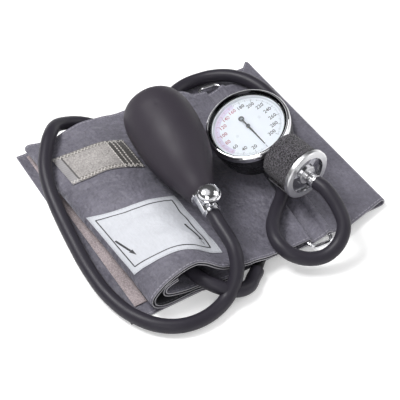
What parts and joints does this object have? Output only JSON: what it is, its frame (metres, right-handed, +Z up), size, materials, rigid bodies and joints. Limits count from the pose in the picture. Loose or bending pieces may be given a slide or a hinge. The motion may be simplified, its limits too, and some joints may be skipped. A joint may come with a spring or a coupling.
{
  "type": "sphygmomanometer",
  "caption": "Aneroid blood pressure set: a D-ring cuff rolled on a table with its squeeze bulb, release valve, dial gauge and rubber tubes.",
  "frame": {"origin": "on the table under the middle of the folded cuff, the rest face's point", "axes": "+X along the folded cuff to its flap, +Y across it to its far edge, +Z up from the table"},
  "size_m": [0.1854, 0.1841, 0.0557],
  "materials": {
    "cuff_cloth": "smooth woven nylon, satin",
    "lining_cloth": "brushed woven lining, matt",
    "bladder_rubber": "flat latex sheet, matt",
    "hook_tape": "hook tape, coarse and matt",
    "loop_tape": "loop pile tape, soft and matt",
    "label_satin": "white printed satin",
    "black_rubber": "moulded rubber, satin",
    "tube_rubber": "extruded rubber tube, satin",
    "chrome_trim": "polished chrome plate",
    "black_paint": "black enamel",
    "gauge_glass": "clear",
    "dial_white": "white enamel, printed",
    "pointer_black": "black paint",
    "movement_brass": "machined",
    "capsule_bronze": "rolled and corrugated",
    "spring_steel": "blued strip",
    "band_pile": "black loop pile, wound"
  },
  "bodies": {
    "cuff_set": {"outer_panel": "cuff_cloth", "lining_panel": "lining_cloth", "bladder": "bladder_rubber", "cuff_tail": "cuff_cloth", "hook_patch": "hook_tape", "loop_strip": "loop_tape", "label": "label_satin", "bulb_port": "black_rubber", "gauge_port": "black_rubber", "keeper_band": "band_pile", "bulb": "black_rubber", "inlet_seat": "movement_brass", "inlet_screen": "chrome_trim", "valve_body": "chrome_trim", "gauge_case": "black_paint", "bezel": "chrome_trim", "crystal": "gauge_glass", "crystal_gasket": "black_rubber", "dial": "dial_white", "capsule": "capsule_bronze", "hairspring": "spring_steel", "lower_plate": "movement_brass", "upper_plate": "movement_brass", "plate_pillars": "chrome_trim", "dial_screws": "chrome_trim", "inlet_block": "movement_brass", "inlet_stem": "chrome_trim", "band_core": "black_rubber", "inlet_flange": "chrome_trim", "inlet_nipple": "chrome_trim", "bulb_tube": "tube_rubber", "gauge_tube": "tube_rubber"},
    "sector": {"sector_gear": "movement_brass"},
    "pointer_arbor": {"pinion_arbor": "movement_brass", "pointer": "pointer_black"},
    "rocker": {"rocking_shaft": "movement_brass"},
    "stud": {"capsule_stud": "movement_brass"},
    "screw_ring": {"valve_o_ring": "black_rubber"},
    "screw": {"thumbscrew": "chrome_trim"},
    "ball": {"inlet_ball": "chrome_trim"},
    "disc": {"check_disc": "black_rubber"},
    "ring": {"d_ring": "chrome_trim"}
  },
  "joints": [
    {"name": "sector_swing", "type": "hinge", "parent": "cuff_set", "child": "sector", "pos_m": [0.02062, 0.00049, 0.02517], "axis": [-0.3067, -0.0377, 0.9511], "range_deg": [0, 33]},
    {"name": "pointer_turn", "type": "hinge", "parent": "cuff_set", "child": "pointer_arbor", "pos_m": [0.03276, -0.00306, 0.02894], "axis": [-0.3067, -0.0377, 0.9511], "range_deg": [-330, 0]},
    {"name": "shaft_rock", "type": "hinge", "parent": "cuff_set", "child": "rocker", "pos_m": [0.03325, 0.00205, 0.02552], "axis": [-0.944, -0.1159, -0.309], "range_deg": [0, 18.63]},
    {"name": "stud_rise", "type": "slide", "parent": "cuff_set", "child": "stud", "axis": [-0.3067, -0.0377, 0.9511], "range_m": [0, 0.0016]},
    {"name": "screw_lift", "type": "slide", "parent": "cuff_set", "child": "screw_ring", "axis": [-0.0109, -0.0689, 0.9976], "range_m": [0, 0.00105]},
    {"name": "screw_turn", "type": "hinge", "parent": "screw_ring", "child": "screw", "pos_m": [-0.02242, -0.04086, 0.03676], "axis": [-0.0109, -0.0689, 0.9976], "range_deg": [0, 540]},
    {"name": "inlet_ball_lift", "type": "slide", "parent": "cuff_set", "child": "ball", "axis": [-0.1561, -0.9853, -0.0698], "range_m": [0, 0.0008]},
    {"name": "check_disc_lift", "type": "slide", "parent": "cuff_set", "child": "disc", "axis": [0.1561, 0.9853, 0.0698], "range_m": [0, 0.0006]},
    {"name": "ring_shift", "type": "slide", "parent": "cuff_set", "child": "ring", "axis": [0.134, 0.991, 0], "range_m": [-0.0005, 0.0005]}
  ],
  "couplings": [
    {"joint": "pointer_turn", "follows": "sector_swing", "ratio": -10},
    {"joint": "shaft_rock", "follows": "sector_swing", "ratio": 0.56451},
    {"joint": "stud_rise", "follows": "sector_swing", "m_per_rad": 0.002778},
    {"joint": "screw_lift", "follows": "screw_turn", "m_per_rad": 0.00011141}
  ]
}
